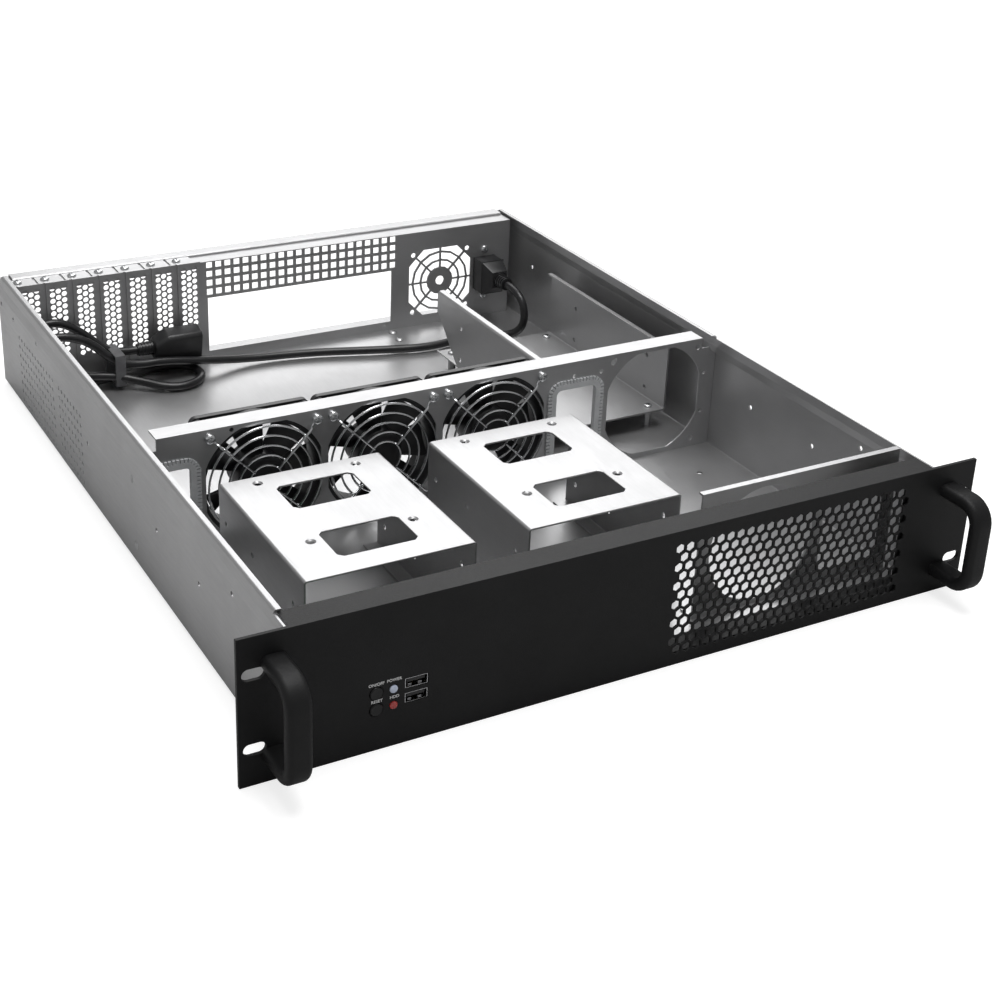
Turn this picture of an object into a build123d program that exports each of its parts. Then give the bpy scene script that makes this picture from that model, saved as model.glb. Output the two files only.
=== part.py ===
from build123d import *

import os
from math import cos, pi, radians, sin, sqrt, tan

# Empty two-unit rackmount server case, seen with its top cover off.
# Millimetres. X runs right seen from the front, Y runs back, Z up.
# The origin is under the middle of the case, on the surface it stands on.

os.makedirs("parts", exist_ok=True)

# Driving dimensions: the case
panel_width = 482.6
panel_height = 88.1
panel_thickness = 2.5
case_width = 430.0
case_depth = 550.0
case_top = 87.3
case_bottom = 1.8
sheet = 1.2
bend = 2.0
handle_reach = 34.2

# Driving dimensions: the side walls
joggle_low = 73.0
joggle_high = 79.0
joggle_inset = 1.5
top_flange = 4.5
plain_edge_top = 85.0
side_flange_start = 20.0
side_flange_tail = 5.0

# Driving dimensions: the inner walls
bulkhead_top = 85.5
bulkhead_depth = 19.0
mid_wall_depth = 233.5
mid_wall_top = 87.0
mid_flange = 14.5
mid_flange_side = 13.8
rear_wall_depth = 523.0
rear_wall_side = 7.0
rear_wall_top = 85.0
ledge_depth = 14.0
rail_top = 87.0
rail_bottom = 78.0

# Driving dimensions: rack slots and handles
slot_spacing_x = 465.1
slot_spacing_z = 44.45
slot_length = 12.5
slot_width = 7.0
handle_centre = 221.5
handle_leg_spacing = 55.0
handle_grip_width = 14.0
handle_grip_thickness = 8.5
handle_grip_cut = 2.6
handle_bend = 12.0
handle_bend_steps = 3

# Driving dimensions: front grille and controls
hex_pitch = 7.0
hex_across_flats = 4.6
hex_rows = 12
hex_columns = 24
hex_first_x = 25.9
hex_first_z = 10.0
control_x = -165.0
power_z = 35.5
reset_z = 25.5
lamp_x = -155.0
lamp_radius = 2.4
button_radius = 3.9
button_proud = 0.8
button_travel = 1.0
port_x = -141.5
port_width = 13.2
port_height = 5.9
port_upper_z = 36.5
port_lower_z = 27.5
port_length = 14.0

board_depth = 16.0
board_thickness = 1.6
board_margin = 8.0
button_stroke_room = 3.0
stem_width = 2.6
stem_gap = 0.1
switch_width = 7.5
spacer_radius = 2.2
small_round_sides = 12
lamp_proud = 0.8
port_wall = 0.5
port_tongue = 1.6
grille_margin = 3.0
mitre_gap = 0.8

# Driving dimensions: screws
screw_head_radius = 3.4
screw_head_height = 1.9
screw_sides = 8

# Driving dimensions: fans
fan_size = 80.0
fan_thickness = 25.0
fan_hole_spacing = 71.5
fan_hole_radius = 2.2
fan_bore = 38.2
fan_centre_z = 45.2
fan_first_x = -131.7
fan_pitch = 82.5
fan_hub_radius = 16.0
fan_blades = 7
fourth_fan_x = 162.3
wall_opening_radius = 41.5
wall_opening_flat = 77.4
guard_wire = 1.5
guard_rings = (36.5, 20.0)
guard_sides = 12
guard_loop_radius = 3.6
fan_corner = 3.0
fan_sides = 24
hub_sides = 14
fan_struts = 4
strut_width = 4.0
strut_thickness = 3.5
strut_overlap = 1.0
fan_shaft_radius = 1.5
hub_nose_gap = 1.5
blade_root = 3.0
blade_chord = 17.0
blade_rise = 13.0
blade_camber = 2.0
blade_thickness = 1.2
blade_tip_gap = 1.8
blade_back_shift = 1.0

# Driving dimensions: cable openings
cable_right_x = 97.0
cable_right_width = 38.0
cable_right_top = 71.0
cable_left_x = -192.0
cable_left_width = 30.0
cable_left_top = 67.5
cable_bottom = 14.0
cable_corner = 7.0
trim_lip = 3.2
trim_corner_gain = 1.5
trim_wall = 1.4

# Driving dimensions: drive cages
cage_width = 106.7
cage_length = 128.0
cage_top = 67.7
cage_depth = 70.0
cage_left_x = -122.05
cage_right_x = 18.9
cage_window_width = 50.0
cage_window_length = 31.0
cage_window_pitch = 62.4
cage_window_shift = 0.65
cage_window_corner = 3.0
cage_foot = 11.0
drive_hole_radius = 1.7
drive_hole_spacing = 101.6
drive_hole_rise = 26.0

# Driving dimensions: rear drive tray
tray_left = 95.5
tray_right = 199.7
tray_front = 270.0
tray_back = 436.0
tray_floor = 16.0
tray_top = 68.0
tray_flange = 5.0
tray_chamfer = 33.0
tray_hole_low = 8.5
tray_holes_depth = 347.0
pillar_inset = 9.0
pillar_radius = 3.0

# Driving dimensions: rear wall
io_left = -61.0
io_bottom = 10.5
io_width = 158.75
io_height = 44.45
grid_pitch_x = 7.5
grid_pitch_z = 7.3
grid_lift = 5.0
grid_shift = 1.3
grid_square = 5.0
grid_columns = 22
grid_rows = 4
rear_fan_x = 142.5
rear_fan_z = 40.3
rear_fan_spacing = 50.0
rear_fan_hole = 2.25
rear_fan_hub = 12.0
rear_fan_eye = 4.0
rear_fan_sides = 16
rear_fan_rings = (25.2, 17.9)
rear_fan_cut = 13.0
rear_fan_web = 1.6
rear_fan_side = 57.2
inlet_x = 184.2
inlet_z = 42.0
inlet_width = 19.8
inlet_height = 27.8
inlet_flange = 3.0
inlet_flange_width = 22.0
inlet_flange_height = 50.0
inlet_screw_spacing = 40.0
inlet_body = 16.0
inlet_taper = 13.0
inlet_nose = 14.0
inlet_rise = 2.0
inlet_wall = 1.6
inlet_cavity = 15.0
pin_width = 2.0
pin_thickness = 4.0
pin_pitch = 7.0
pin_shift = 2.0
pin_recess = 5.0
slot_pitch = 20.32
slot_first_x = -75.8
slot_count = 7
cover_width = 18.4
cover_bottom = 8.0
cover_sheet = 1.0
tab_shift = 4.6
tab_screw_shift = 7.4
tab_screw_depth = 530.0
tab_head_height = 1.2
slot_opening_width = 13.4
slot_opening_bottom = 14.0
slot_opening_top = 80.0

# Driving dimensions: front power supply bracket
supply_x = 60.0
supply_width = 149.0
supply_depth = 33.0
supply_top = 87.0
supply_fan_radius = 38.5
supply_fan_sides = 32
supply_fan_x = 47.0
supply_fan_z = 44.5
supply_window_x = 116.0
supply_window_width = 46.0
supply_window_height = 62.0
supply_corner = 4.0
supply_lip = 4.0
supply_foot = 12.0

# Driving dimensions: the extension lead
cord_diameter = 6.5
cord_sides = 6
arc_share = 0.45
exit_run = 14.0
relief_length = 13.0
relief_radius = 6.0
relief_skin = 1.0
hank_right = -128.0
hank_left = -205.0
hank_front = 494.0
hank_back = 516.0
hank_low = 8.0
hank_high = 30.0
hank_peak = 52.0
hank_bulge = 12.0
hank_entry_depth = 498.5
hank_entry_z = 19.5
loop_left = -136.0
loop_right = -97.0
loop_depth = 501.0
loop_width = 22.0
tie_x = -142.0
tie_width = 8.0
tie_wall = 1.5
lead_depth = 512.0
lead_z = 26.0
lead_length = 5.0
socket_relief_length = 12.0
socket_relief_radius = 5.5
socket_depth = 510.0
socket_z = 25.5
socket_lean = 12.0
socket_neck = 15.0
socket_taper = 10.0
socket_length = 37.0
socket_thickness = 17.0
socket_width = 27.0
socket_cut = 2.5

# Clearances
fit = 0.2
press_gap = 0.3
shaft_gap = 0.1

# Worked out from the driving dimensions
front_y = -(case_depth - handle_reach) / 2
mid_z = panel_height / 2
floor_top = case_bottom + sheet
half_width = case_width / 2
wall_inner = half_width - sheet
upper_inner = wall_inner - joggle_inset
bulkhead_back = panel_thickness + sheet
hex_row_pitch = hex_pitch * sqrt(3) / 2


def at_depth(depth):
    """The Y of a point this far behind the panel's front face."""
    return front_y + depth


def upright(depth):
    """A sketch plane facing the front, this far behind the panel's front face."""
    return Plane.XZ.offset(-at_depth(depth))


def level(height):
    """A sketch plane lying flat at this height."""
    return Plane.XY.offset(height)


def save(shape, name):
    """Labels a finished piece and writes it to its own file."""
    shape.label = name
    export_step(shape, "parts/" + name + ".step")


def cut_cornered(width, height, cut):
    """A rectangle with its four corners cut off, centred on the origin."""
    with BuildSketch() as outline:
        Rectangle(width, height)
        chamfer(outline.vertices(), cut)
    return outline.sketch


# Chassis pan: floor and both side walls folded from one sheet
with BuildPart() as chassis_pan:
    with BuildSketch(upright(panel_thickness)) as pan_section:
        with BuildLine():
            left = -half_width
            right = half_width
            lean = joggle_inset
            FilletPolyline(
                (left + lean + top_flange, case_top),
                (left + lean, case_top),
                (left + lean, joggle_high),
                (left, joggle_low),
                (left, case_bottom),
                (right, case_bottom),
                (right, joggle_low),
                (right - lean, joggle_high),
                (right - lean, case_top),
                (right - lean - top_flange, case_top),
                radius=bend,
            )
            offset(amount=sheet, side=Side.LEFT)
        make_face()
    extrude(amount=-(case_depth - panel_thickness))
    flange_reach = joggle_inset + top_flange + bend
    ends = (panel_thickness, side_flange_start, case_depth - side_flange_tail, case_depth)
    for low, high in ((ends[0], ends[1]), (ends[2], ends[3])):
        with BuildSketch(level(case_top - bend)):
            with Locations((0, at_depth((low + high) / 2))):
                Rectangle(case_width, high - low)
        extrude(amount=bend, mode=Mode.SUBTRACT)
    with BuildSketch(level(plain_edge_top)):
        with Locations((half_width - flange_reach / 2, at_depth(mid_wall_depth / 2))):
            Rectangle(flange_reach, mid_wall_depth)
    extrude(amount=case_top - plain_edge_top, mode=Mode.SUBTRACT)
save(chassis_pan.part, "chassis_pan")

# Front bulkhead: a shallow folded tray behind the panel, open to the rear
bulkhead_width = 2 * (upper_inner - fit)
bulkhead_height = bulkhead_top - floor_top
grille_width = (hex_columns - 0.5) * hex_pitch
grille_height = (hex_rows - 1) * hex_row_pitch
grille_x = hex_first_x + grille_width / 2 - hex_pitch * 0.75
grille_z = hex_first_z + grille_height / 2
control_window_x = (control_x + port_x) / 2
control_window_z = (power_z + reset_z) / 2
control_window_width = port_x - control_x + port_width + board_margin
control_window_height = power_z - reset_z + 2 * (button_radius + board_margin)
with BuildPart() as front_bulkhead:
    with BuildSketch(upright(panel_thickness)):
        with Locations((0, floor_top + bulkhead_height / 2)):
            Rectangle(bulkhead_width, bulkhead_height)
    extrude(amount=-bulkhead_depth)
    offset(amount=-sheet, openings=front_bulkhead.faces().sort_by(Axis.Y)[-1])
    with BuildSketch(upright(panel_thickness)):
        with Locations((grille_x, grille_z)):
            Rectangle(grille_width + 2 * grille_margin, grille_height + 2 * grille_margin)
        with Locations((control_window_x, control_window_z)):
            Rectangle(control_window_width, control_window_height)
    extrude(amount=-sheet, mode=Mode.SUBTRACT)
    for side in (-1, 1):
        with BuildSketch(upright(bulkhead_back)):
            with Locations((side * bulkhead_width / 2, bulkhead_top)):
                Rectangle(4 * sheet, mitre_gap, rotation=side * 45)
        extrude(amount=-bulkhead_depth, mode=Mode.SUBTRACT)
save(front_bulkhead.part, "front_bulkhead")

# Front panel: a flat rack plate with ear slots, control holes and the hexagon grille
with BuildPart() as front_panel:
    with BuildSketch(upright(0)):
        with Locations((0, mid_z)):
            Rectangle(panel_width, panel_height)
            with GridLocations(slot_spacing_x, slot_spacing_z, 2, 2):
                SlotOverall(slot_length, slot_width, mode=Mode.SUBTRACT)
        with Locations((control_x, power_z), (control_x, reset_z)):
            RegularPolygon(button_radius + fit, small_round_sides, mode=Mode.SUBTRACT)
        with Locations((lamp_x, power_z), (lamp_x, reset_z)):
            RegularPolygon(lamp_radius + fit, small_round_sides, mode=Mode.SUBTRACT)
        with Locations((port_x, port_upper_z), (port_x, port_lower_z)):
            Rectangle(port_width + 2 * fit, port_height + 2 * fit, mode=Mode.SUBTRACT)
    extrude(amount=-panel_thickness)
    hex_centres = [
        (
            hex_first_x + hex_pitch * (column - row % 2 / 2),
            hex_first_z + hex_row_pitch * row,
        )
        for row in range(hex_rows)
        for column in range(hex_columns)
    ]
    with BuildSketch(upright(0)):
        with Locations(*hex_centres):
            RegularPolygon(hex_across_flats / 2, 6, major_radius=False, rotation=30)
    extrude(amount=-panel_thickness, mode=Mode.SUBTRACT)
save(front_panel.part, "front_panel")

# Handles: a rounded bar bent into a D on each ear
grip_reach = handle_reach - handle_grip_thickness / 2
leg_low = mid_z - handle_leg_spacing / 2
leg_high = mid_z + handle_leg_spacing / 2
bend_turns = [pi / 2 * step / handle_bend_steps for step in range(handle_bend_steps + 1)]
low_bend = [
    (
        at_depth(handle_bend - grip_reach - handle_bend * sin(turn)),
        leg_low + handle_bend * (1 - cos(turn)),
    )
    for turn in bend_turns
]
high_bend = [(y, leg_low + leg_high - z) for y, z in reversed(low_bend)]
for side, name in ((-1, "handle_left"), (1, "handle_right")):
    with BuildPart() as handle:
        with BuildLine(Plane.YZ.offset(side * handle_centre)):
            Polyline((at_depth(0), leg_low), *low_bend, *high_bend, (at_depth(0), leg_high))
        with BuildSketch(upright(0)):
            with Locations((side * handle_centre, leg_low)):
                add(cut_cornered(handle_grip_width, handle_grip_thickness, handle_grip_cut))
        sweep(transition=Transition.RIGHT)
    save(handle.part, name)

# Handle screws: heads behind the ears, in line with the handle legs
with BuildPart() as handle_screws:
    with BuildSketch(upright(panel_thickness)):
        with Locations((0, mid_z)):
            with GridLocations(2 * handle_centre, handle_leg_spacing, 2, 2):
                RegularPolygon(screw_head_radius, screw_sides)
    extrude(amount=-screw_head_height)
save(handle_screws.part, "handle_screws")

# Front controls: push buttons, lamps and sockets in front of one small board
button_back = panel_thickness + button_stroke_room
stem_end = board_depth - sheet
for z, name in ((power_z, "power_button"), (reset_z, "reset_button")):
    with BuildPart() as button:
        with BuildSketch(upright(-button_proud)):
            with Locations((control_x, z)):
                RegularPolygon(button_radius, small_round_sides)
        extrude(amount=-(button_proud + button_back))
        with BuildSketch(upright(button_back)):
            with Locations((control_x, z)):
                Rectangle(stem_width, stem_width)
        extrude(amount=-(stem_end - button_travel - button_back))
    save(button.part, name)

switch_front = button_back + button_travel + fit
with BuildPart() as switch_bodies:
    with BuildSketch(upright(switch_front)):
        with Locations((control_x, power_z), (control_x, reset_z)):
            Rectangle(switch_width, switch_width)
            Rectangle(stem_width + 2 * stem_gap, stem_width + 2 * stem_gap, mode=Mode.SUBTRACT)
    extrude(amount=-(board_depth - switch_front))
save(switch_bodies.part, "switch_bodies")

with BuildPart() as control_board:
    with BuildSketch(upright(board_depth)):
        with Locations((control_window_x, control_window_z)):
            Rectangle(control_window_width - 2 * fit, control_window_height - 2 * fit)
    extrude(amount=-board_thickness)
save(control_board.part, "control_board")

board_corner_x = control_window_width / 2 - fit - spacer_radius
board_corner_z = control_window_height / 2 - fit - spacer_radius
with BuildPart() as board_spacers:
    with BuildSketch(upright(panel_thickness)):
        with Locations((control_window_x, control_window_z)):
            with GridLocations(2 * board_corner_x, 2 * board_corner_z, 2, 2):
                RegularPolygon(spacer_radius, 6)
    extrude(amount=-(board_depth - panel_thickness))
save(board_spacers.part, "board_spacers")

for z, name in ((power_z, "power_lamp"), (reset_z, "drive_lamp")):
    with BuildPart() as lamp:
        with BuildSketch(upright(-lamp_proud)):
            with Locations((lamp_x, z)):
                RegularPolygon(lamp_radius, small_round_sides)
        extrude(amount=-(lamp_proud + board_depth))
    save(lamp.part, name)

for z, name in ((port_upper_z, "port_upper"), (port_lower_z, "port_lower")):
    with BuildPart() as port:
        with BuildSketch(upright(0)):
            with Locations((port_x, z)):
                Rectangle(port_width, port_height)
        extrude(amount=-board_depth)
        with BuildSketch(upright(0)):
            with Locations((port_x, z)):
                Rectangle(port_width - 2 * port_wall, port_height - 2 * port_wall)
                with Locations((0, port_tongue)):
                    Rectangle(port_width - 5 * port_wall, port_tongue, mode=Mode.SUBTRACT)
        extrude(amount=-port_length, mode=Mode.SUBTRACT)
    save(port.part, name)

# Mid wall: carries the fans, with two cable openings and one spare fan position
fan_xs = [fan_first_x + fan_pitch * n for n in range(3)]
with BuildSketch() as fan_opening:
    RegularPolygon(wall_opening_radius, fan_sides)
    Rectangle(wall_opening_flat, wall_opening_flat, mode=Mode.INTERSECT)

mid_half = wall_inner - fit
flange_half = half_width - mid_flange_side
notch_half = mid_half - (joggle_high - joggle_low)
cable_openings = (
    (cable_left_x, cable_left_width, cable_left_top),
    (cable_right_x, cable_right_width, cable_right_top),
)
with BuildPart() as mid_wall:
    with BuildSketch(upright(mid_wall_depth)):
        with BuildLine():
            Polyline(
                (bend - mid_half, floor_top),
                (-mid_half, floor_top + bend),
                (-mid_half, joggle_low),
                (-notch_half, joggle_high),
                (-flange_half, joggle_high),
                (-flange_half, mid_wall_top),
                (flange_half, mid_wall_top),
                (flange_half, joggle_high),
                (notch_half, joggle_high),
                (mid_half, joggle_low),
                (mid_half, floor_top + bend),
                (mid_half - bend, floor_top),
                close=True,
            )
        make_face()
        for x in fan_xs + [fourth_fan_x]:
            with Locations((x, fan_centre_z)):
                add(fan_opening.sketch, mode=Mode.SUBTRACT)
        with Locations((fourth_fan_x, fan_centre_z)):
            with GridLocations(fan_hole_spacing, fan_hole_spacing, 2, 2):
                Circle(fan_hole_radius, mode=Mode.SUBTRACT)
        for x, width, top in cable_openings:
            with Locations((x, (cable_bottom + top) / 2)):
                add(cut_cornered(width, top - cable_bottom, cable_corner), mode=Mode.SUBTRACT)
    extrude(amount=-sheet)
    for height, half in ((mid_wall_top - sheet, flange_half), (floor_top, flange_half)):
        with BuildSketch(level(height)):
            with Locations((0, at_depth(mid_wall_depth + mid_flange / 2))):
                Rectangle(2 * half, mid_flange)
        extrude(amount=sheet)
save(mid_wall.part, "mid_wall")

# Cable trims: edging with a lip on each side of the sheet, round both cable openings
trim_depth = mid_wall_depth - trim_wall
for (x, width, top), name in zip(cable_openings, ("cable_trim_left", "cable_trim_right")):
    height = top - cable_bottom
    middle = (x, (cable_bottom + top) / 2)
    gain = trim_corner_gain
    outer = cut_cornered(width + 2 * trim_lip, height + 2 * trim_lip, cable_corner + gain)
    inner = cut_cornered(width - 2 * trim_lip, height - 2 * trim_lip, cable_corner - gain)
    with BuildPart() as cable_trim:
        with BuildSketch(upright(trim_depth)):
            with Locations(middle):
                add(outer)
        extrude(amount=-(sheet + 2 * trim_wall))
        with BuildSketch(upright(mid_wall_depth)):
            with Locations(middle):
                Rectangle(width + 3 * trim_lip, height + 3 * trim_lip)
                add(cut_cornered(width, height, cable_corner), mode=Mode.SUBTRACT)
        extrude(amount=-sheet, mode=Mode.SUBTRACT)
        with BuildSketch(upright(trim_depth)):
            with Locations(middle):
                add(inner)
        extrude(amount=-(sheet + 2 * trim_wall), mode=Mode.SUBTRACT)
    save(cable_trim.part, name)

# One fan blade, standing on the hub with the fan's axis along Z
with BuildPart() as fan_blade:
    with BuildSketch(Plane.YZ.offset(fan_hub_radius - blade_root)):
        with BuildLine():
            Polyline(
                (-blade_chord / 2, -blade_rise / 2),
                (blade_camber, -blade_camber),
                (blade_chord / 2, blade_rise / 2),
            )
            offset(amount=blade_thickness, side=Side.LEFT, kind=Kind.INTERSECTION)
        make_face()
    extrude(amount=fan_bore - blade_tip_gap - fan_hub_radius + blade_root)

# Fans behind the mid wall: a square frame, a rotor on its shaft and a wire guard in front
fan_face = mid_wall_depth + sheet
fan_middle = fan_thickness / 2
motor_front = fan_thickness - strut_thickness
bore_corner = (fan_shaft_radius + shaft_gap) / cos(pi / small_round_sides)
for number, x in enumerate(fan_xs, start=1):
    fan_axis = Plane(origin=(x, at_depth(fan_face), fan_centre_z), x_dir=(1, 0, 0), z_dir=(0, 1, 0))
    with BuildPart() as fan_frame:
        with BuildSketch(fan_axis):
            add(cut_cornered(fan_size, fan_size, fan_corner))
            RegularPolygon(fan_bore, fan_sides, mode=Mode.SUBTRACT)
        extrude(amount=fan_thickness)
        with BuildSketch(fan_axis.offset(motor_front)):
            RegularPolygon(fan_hub_radius, hub_sides)
            with PolarLocations((fan_bore + fan_hub_radius) / 2, fan_struts, start_angle=45):
                Rectangle(fan_bore - fan_hub_radius + 2 * strut_overlap, strut_width)
            RegularPolygon(bore_corner, small_round_sides, mode=Mode.SUBTRACT)
        extrude(amount=strut_thickness)
    save(fan_frame.part, f"fan_frame_{number}")

    with BuildPart() as fan_rotor:
        with BuildSketch(fan_axis.offset(hub_nose_gap)):
            RegularPolygon(fan_hub_radius, hub_sides)
        extrude(amount=motor_front - hub_nose_gap - press_gap)
        with BuildSketch(fan_axis.offset(motor_front - press_gap)):
            RegularPolygon(fan_shaft_radius, small_round_sides)
        extrude(amount=strut_thickness)
        with Locations(fan_axis.offset(fan_middle - blade_back_shift)):
            with PolarLocations(0, fan_blades):
                add(fan_blade.part)
    save(fan_rotor.part, f"fan_rotor_{number}")

    with BuildPart() as fan_guard:
        with BuildSketch(upright(mid_wall_depth)):
            with Locations((x, fan_centre_z)):
                for radius in guard_rings:
                    RegularPolygon(radius + guard_wire / 2, guard_sides)
                    RegularPolygon(radius - guard_wire / 2, guard_sides, mode=Mode.SUBTRACT)
                for angle in (45, 135):
                    Rectangle(fan_hole_spacing * sqrt(2), guard_wire, rotation=angle)
                with GridLocations(fan_hole_spacing, fan_hole_spacing, 2, 2):
                    RegularPolygon(guard_loop_radius, screw_sides)
        extrude(amount=guard_wire)
    save(fan_guard.part, f"fan_guard_{number}")

with BuildPart() as fan_screws:
    with BuildSketch(upright(mid_wall_depth - guard_wire)):
        for x in fan_xs:
            with Locations((x, fan_centre_z)):
                with GridLocations(fan_hole_spacing, fan_hole_spacing, 2, 2):
                    RegularPolygon(screw_head_radius, screw_sides)
    extrude(amount=screw_head_height)
save(fan_screws.part, "fan_screws")

# Drive cages: sheet folded over into a bridge, with feet turned in at the floor
for x, name in ((cage_left_x, "drive_cage_left"), (cage_right_x, "drive_cage_right")):
    with BuildPart() as drive_cage:
        with BuildSketch(upright(cage_depth)):
            with BuildLine():
                FilletPolyline(
                    (x - cage_width / 2 + cage_foot, floor_top),
                    (x - cage_width / 2, floor_top),
                    (x - cage_width / 2, cage_top),
                    (x + cage_width / 2, cage_top),
                    (x + cage_width / 2, floor_top),
                    (x + cage_width / 2 - cage_foot, floor_top),
                    radius=bend,
                )
                offset(amount=sheet, side=Side.RIGHT)
            make_face()
        extrude(amount=-cage_length)
        cage_middle_y = at_depth(cage_depth + cage_length / 2)
        with BuildSketch(level(cage_top)):
            with Locations((x + cage_window_shift, cage_middle_y)):
                with GridLocations(0, cage_window_pitch, 1, 2):
                    add(cut_cornered(cage_window_width, cage_window_length, cage_window_corner))
        extrude(amount=-sheet, mode=Mode.SUBTRACT)
    save(drive_cage.part, name)

# Drive tray: a channel on pillars, open at both ends, with flanges turned in at the top
tray_length = tray_back - tray_front
tray_middle_x = (tray_left + tray_right) / 2
tray_middle_y = at_depth((tray_front + tray_back) / 2)
with BuildPart() as drive_tray:
    with BuildSketch(upright(tray_front)):
        with BuildLine():
            FilletPolyline(
                (tray_left + tray_flange, tray_top),
                (tray_left, tray_top),
                (tray_left, tray_floor),
                (tray_right, tray_floor),
                (tray_right, tray_top),
                (tray_right - tray_flange, tray_top),
                radius=bend,
            )
            offset(amount=sheet, side=Side.LEFT)
        make_face()
    extrude(amount=-tray_length)
    with BuildSketch(Plane.YZ.offset(tray_left)):
        with BuildLine():
            Polyline(
                (at_depth(tray_back), tray_floor + bend),
                (at_depth(tray_back), tray_floor + bend + tray_chamfer),
                (at_depth(tray_back - tray_chamfer), tray_floor + bend),
                close=True,
            )
        make_face()
    extrude(amount=sheet, mode=Mode.SUBTRACT)
    with BuildSketch(Plane.YZ.offset(tray_left)):
        with Locations((at_depth(tray_holes_depth), tray_floor + tray_hole_low + drive_hole_rise / 2)):
            with GridLocations(drive_hole_spacing, drive_hole_rise, 2, 2):
                RegularPolygon(drive_hole_radius, screw_sides)
    extrude(amount=tray_right - tray_left, mode=Mode.SUBTRACT)
save(drive_tray.part, "drive_tray")

pillar_x = tray_right - tray_left - 2 * pillar_inset
pillar_y = tray_length - 2 * pillar_inset
with BuildPart() as tray_pillars:
    with BuildSketch(level(floor_top)):
        with Locations((tray_middle_x, tray_middle_y)):
            with GridLocations(pillar_x, pillar_y, 2, 2):
                RegularPolygon(pillar_radius, 6)
    extrude(amount=tray_floor - floor_top)
save(tray_pillars.part, "tray_pillars")

with BuildPart() as tray_screws:
    with BuildSketch(level(tray_floor + sheet)):
        with Locations((tray_middle_x, tray_middle_y)):
            with GridLocations(pillar_x, pillar_y, 2, 2):
                RegularPolygon(screw_head_radius, screw_sides)
    extrude(amount=screw_head_height)
save(tray_screws.part, "tray_screws")

# Rear wall: set forward of the case's end, with side returns and a ledge for the slot covers
return_x = half_width - rear_wall_side
with BuildSketch() as rear_fan_gaps:
    Rectangle(rear_fan_side, rear_fan_side)
    chamfer(rear_fan_gaps.vertices(), rear_fan_cut)
    for radius in rear_fan_rings:
        RegularPolygon(radius + rear_fan_web / 2, rear_fan_sides, mode=Mode.SUBTRACT)
        RegularPolygon(radius - rear_fan_web / 2, rear_fan_sides)
    RegularPolygon(rear_fan_hub, rear_fan_sides, mode=Mode.SUBTRACT)
    for angle in (0, 45, 90, 135):
        Rectangle(2 * rear_fan_side, rear_fan_web, rotation=angle, mode=Mode.SUBTRACT)
    RegularPolygon(rear_fan_eye, small_round_sides)

cover_xs = [slot_first_x - slot_pitch * n for n in range(slot_count)]
grid_x = io_left + io_width / 2 + grid_shift
grid_z = io_bottom + io_height + grid_lift + grid_pitch_z * (grid_rows - 1) / 2
with BuildPart() as rear_wall:
    with BuildSketch(level(floor_top)):
        with BuildLine():
            Polyline(
                (-(upper_inner - fit), at_depth(case_depth - sheet)),
                (-return_x, at_depth(case_depth - sheet)),
                (-return_x, at_depth(rear_wall_depth)),
                (return_x, at_depth(rear_wall_depth)),
                (return_x, at_depth(case_depth - sheet)),
                (upper_inner - fit, at_depth(case_depth - sheet)),
            )
            offset(amount=sheet, side=Side.LEFT, kind=Kind.INTERSECTION)
        make_face()
    extrude(amount=rear_wall_top - floor_top)
    with BuildSketch(level(rear_wall_top)):
        with Locations((0, at_depth(rear_wall_depth + ledge_depth / 2))):
            Rectangle(2 * return_x, ledge_depth)
    extrude(amount=-sheet)
    with BuildSketch(upright(rear_wall_depth)):
        with Locations((io_left + io_width / 2, io_bottom + io_height / 2)):
            Rectangle(io_width, io_height)
        with Locations((grid_x, grid_z)):
            with GridLocations(grid_pitch_x, grid_pitch_z, grid_columns, grid_rows):
                Rectangle(grid_square, grid_square)
        with Locations((rear_fan_x, rear_fan_z)):
            add(rear_fan_gaps.sketch)
            with GridLocations(rear_fan_spacing, rear_fan_spacing, 2, 2):
                RegularPolygon(rear_fan_hole, screw_sides)
        with Locations((inlet_x, inlet_z)):
            Rectangle(inlet_width + 2 * fit, inlet_height + 2 * fit)
        with Locations(*[(x, (slot_opening_bottom + slot_opening_top) / 2) for x in cover_xs]):
            Rectangle(slot_opening_width, slot_opening_top - slot_opening_bottom)
    extrude(amount=-sheet, mode=Mode.SUBTRACT)
save(rear_wall.part, "rear_wall")

# Rear rail: an inverted channel over the end of the ledge
rail_half = return_x - sheet - fit
rail_front = rear_wall_depth + ledge_depth
with BuildPart() as rear_rail:
    with BuildSketch(Plane.YZ.offset(-rail_half)):
        with BuildLine():
            FilletPolyline(
                (at_depth(rail_front), rear_wall_top - sheet),
                (at_depth(rail_front), rail_top),
                (at_depth(case_depth), rail_top),
                (at_depth(case_depth), rail_bottom),
                radius=bend,
            )
            offset(amount=sheet, side=Side.RIGHT)
        make_face()
    extrude(amount=2 * rail_half)
save(rear_rail.part, "rear_rail")

# Slot covers: a strip down the wall's inner face, with a tab bent back over the ledge
cover_depth = rear_wall_depth - cover_sheet
cover_top = rear_wall_top + cover_sheet
tab_front = rear_wall_depth + fit
tab_reach = rail_front - fit - tab_front
for number, x in enumerate(cover_xs, start=1):
    with BuildPart() as slot_cover:
        with BuildSketch(upright(cover_depth)):
            with Locations((x, (cover_bottom + cover_top) / 2)):
                Rectangle(cover_width, cover_top - cover_bottom)
        extrude(amount=-cover_sheet)
        with BuildSketch(level(rear_wall_top)):
            with Locations((x - tab_shift, at_depth(tab_front + tab_reach / 2))):
                Rectangle(cover_width, tab_reach)
            with Locations((x - tab_shift / 2, at_depth(rear_wall_depth))):
                Rectangle(cover_width - tab_shift, 2 * cover_sheet)
        extrude(amount=cover_sheet)
    save(slot_cover.part, f"slot_cover_{number}")

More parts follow.
